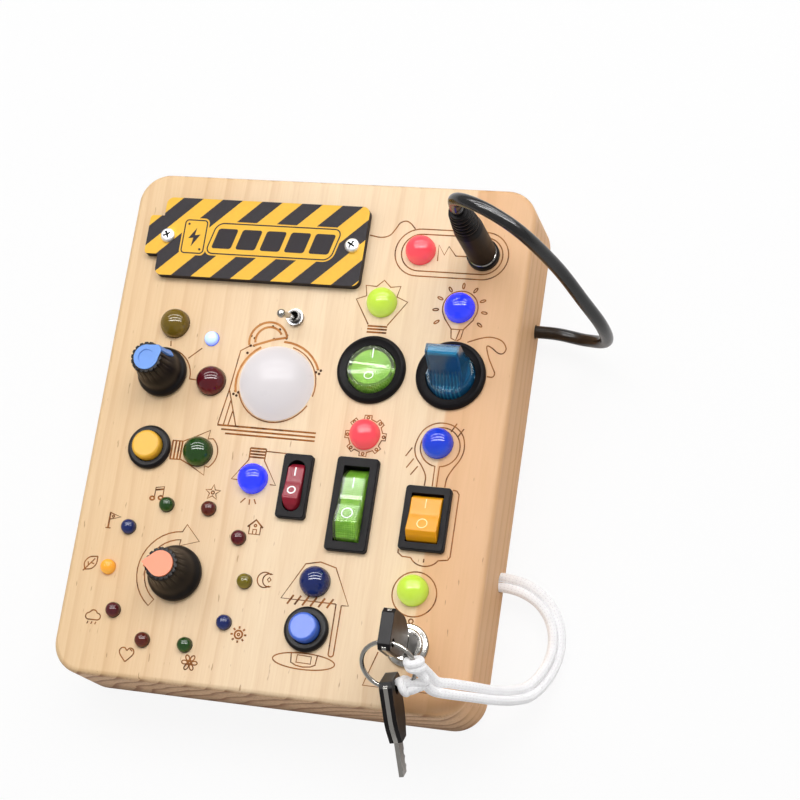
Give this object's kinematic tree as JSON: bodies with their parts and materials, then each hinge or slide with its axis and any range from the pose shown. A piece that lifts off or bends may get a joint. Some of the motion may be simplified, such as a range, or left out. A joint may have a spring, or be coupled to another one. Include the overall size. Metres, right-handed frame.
{
  "type": "electric switch busy board",
  "caption": "Pocketed wooden board with rocker, toggle, rotary and push switches, coloured lamps, a dome light, a power jack with cable, and a key lock with keys on a cord.",
  "frame": {"origin": "centre of the wooden board's back face, on the surface the board lies on", "axes": "+Z out of the switch face, +Y toward the board's top edge with the battery cover, +X toward the side the cable and the key cord come out of"},
  "size_m": [0.1693, 0.1948, 0.0892],
  "materials": {
    "pine": "clear matt lacquer, visible grain",
    "plywood": "raw sanded",
    "screw_steel": "bright zinc",
    "nickel": "polished nickel",
    "tin_contact": "tinned",
    "hazard_yellow": "printed sheet, satin",
    "black_plastic": "fine satin moulding",
    "cell_sleeve": "printed sleeve",
    "circuit_green": "solder mask",
    "switch_case": "moulded",
    "red_rocker": "opaque glossy",
    "green_clear": "translucent glossy",
    "amber_rocker": "opaque glossy",
    "blue_clear": "translucent glossy",
    "blue_cap": "satin",
    "orange_cap": "satin",
    "yellow_cap": "satin",
    "lamp_red": "tinted clear, lit",
    "lamp_green": "tinted clear, lit",
    "lamp_blue": "tinted clear, lit",
    "lamp_olive": "tinted clear, unlit",
    "lamp_dark_red": "tinted clear, unlit",
    "lamp_dark_green": "tinted clear, unlit",
    "lamp_dark_blue": "tinted clear, unlit",
    "lamp_amber": "tinted clear, lit",
    "lamp_white": "clear, lit",
    "dome_white": "milky translucent",
    "cable_black": "smooth satin jacket",
    "plug_black": "moulded satin",
    "cord_white": "braided"
  },
  "bodies": {
    "board": {"body": "pine", "back_panel": "plywood", "back_screws": "screw_steel", "battery_cover": "hazard_yellow", "cover_screws": "screw_steel", "battery_holder": "black_plastic", "battery_contacts": "tin_contact", "battery_cells": "cell_sleeve", "control_board": "circuit_green", "slim_housing": "black_plastic", "long_housing": "black_plastic", "wide_housing": "black_plastic", "green_housing": "black_plastic", "blue_housing": "black_plastic", "switch_terminals": "tin_contact", "toggle_body": "nickel", "mode_switch": "switch_case", "selector_switch": "switch_case", "panel_nuts": "nickel", "yellow_button_body": "black_plastic", "blue_button_body": "black_plastic", "red_lamps": "lamp_red", "green_lamps": "lamp_green", "blue_lamps": "lamp_blue", "olive_lamp": "lamp_olive", "ring_lamps_red": "lamp_dark_red", "ring_lamps_green": "lamp_dark_green", "ring_lamps_blue": "lamp_dark_blue", "ring_lamp_amber": "lamp_amber", "small_lamps": "lamp_white", "dome": "dome_white", "jack_body": "black_plastic", "jack_ring": "nickel", "plug_cable": "cable_black", "lock_body": "nickel", "key_cord": "cord_white"},
    "slim_switch": {"slim_rocker": "red_rocker"},
    "long_switch": {"long_rocker": "green_clear"},
    "wide_switch": {"wide_rocker": "amber_rocker"},
    "green_switch": {"green_rocker": "green_clear"},
    "duckbill_switch": {"blue_rocker": "blue_clear"},
    "toggle": {"toggle_lever": "nickel"},
    "mode_dial": {"mode_shaft": "tin_contact", "mode_knob": "black_plastic", "mode_cap": "blue_cap"},
    "selector_dial": {"selector_shaft": "tin_contact", "selector_knob": "black_plastic", "selector_cap": "orange_cap"},
    "yellow_button": {"yellow_button_cap": "yellow_cap"},
    "blue_button": {"blue_button_cap": "blue_cap"},
    "key": {"lock_core": "nickel", "key_blade": "nickel", "key_bow": "black_plastic", "key_ring": "nickel", "cord_knot": "cord_white"},
    "spare": {"spare_key": "nickel", "spare_key_bow": "black_plastic"},
    "power_plug": {"plug": "plug_black", "plug_barrel": "nickel"}
  },
  "joints": [
    {"name": "slim_tilt", "type": "hinge", "parent": "board", "child": "slim_switch", "pos_m": [0.0037, -0.0192, 0.03], "axis": [1, 0, 0], "range_deg": [0, 22]},
    {"name": "long_tilt", "type": "hinge", "parent": "board", "child": "long_switch", "pos_m": [0.0238, -0.0234, 0.03], "axis": [1, 0, 0], "range_deg": [0, 22]},
    {"name": "wide_tilt", "type": "hinge", "parent": "board", "child": "wide_switch", "pos_m": [0.0484, -0.0258, 0.03], "axis": [1, 0, 0], "range_deg": [0, 22]},
    {"name": "green_tilt", "type": "hinge", "parent": "board", "child": "green_switch", "pos_m": [0.0229, 0.0222, 0.03], "axis": [1, 0, 0], "range_deg": [0, 22]},
    {"name": "duckbill_tilt", "type": "hinge", "parent": "board", "child": "duckbill_switch", "pos_m": [0.0496, 0.0222, 0.03], "axis": [1, 0, 0], "range_deg": [0, 30]},
    {"name": "toggle_flip", "type": "hinge", "parent": "board", "child": "toggle", "pos_m": [-0.0059, 0.0382, 0.031], "axis": [1, 0, 0], "range_deg": [-28, 0]},
    {"name": "mode_turn", "type": "hinge", "parent": "board", "child": "mode_dial", "pos_m": [-0.049, 0.0158, 0.03], "axis": [0, 0, 1], "range_deg": [-45, 45]},
    {"name": "selector_turn", "type": "hinge", "parent": "board", "child": "selector_dial", "pos_m": [-0.0319, -0.0517, 0.03], "axis": [0, 0, 1], "continuous": true},
    {"name": "yellow_press", "type": "slide", "parent": "board", "child": "yellow_button", "axis": [0, 0, -1], "range_m": [0, 0.0025], "stiffness_N_per_m": 400, "springref_m": -0.001},
    {"name": "blue_press", "type": "slide", "parent": "board", "child": "blue_button", "axis": [0, 0, -1], "range_m": [0, 0.0025], "stiffness_N_per_m": 400, "springref_m": -0.001},
    {"name": "key_turn", "type": "hinge", "parent": "board", "child": "key", "pos_m": [0.0484, -0.0664, 0.03], "axis": [0, 0, 1], "range_deg": [0, 90], "deforming": ["key_cord"]},
    {"name": "spare_swing", "type": "hinge", "parent": "key", "child": "spare", "pos_m": [0.0484, -0.08202, 0.04248], "axis": [1, 0, 0], "range_deg": [-50, 5]},
    {"name": "plug_pull", "type": "slide", "parent": "board", "child": "power_plug", "axis": [0, 0, 1], "range_m": [0, 0.012], "deforming": ["plug_cable"]}
  ]
}
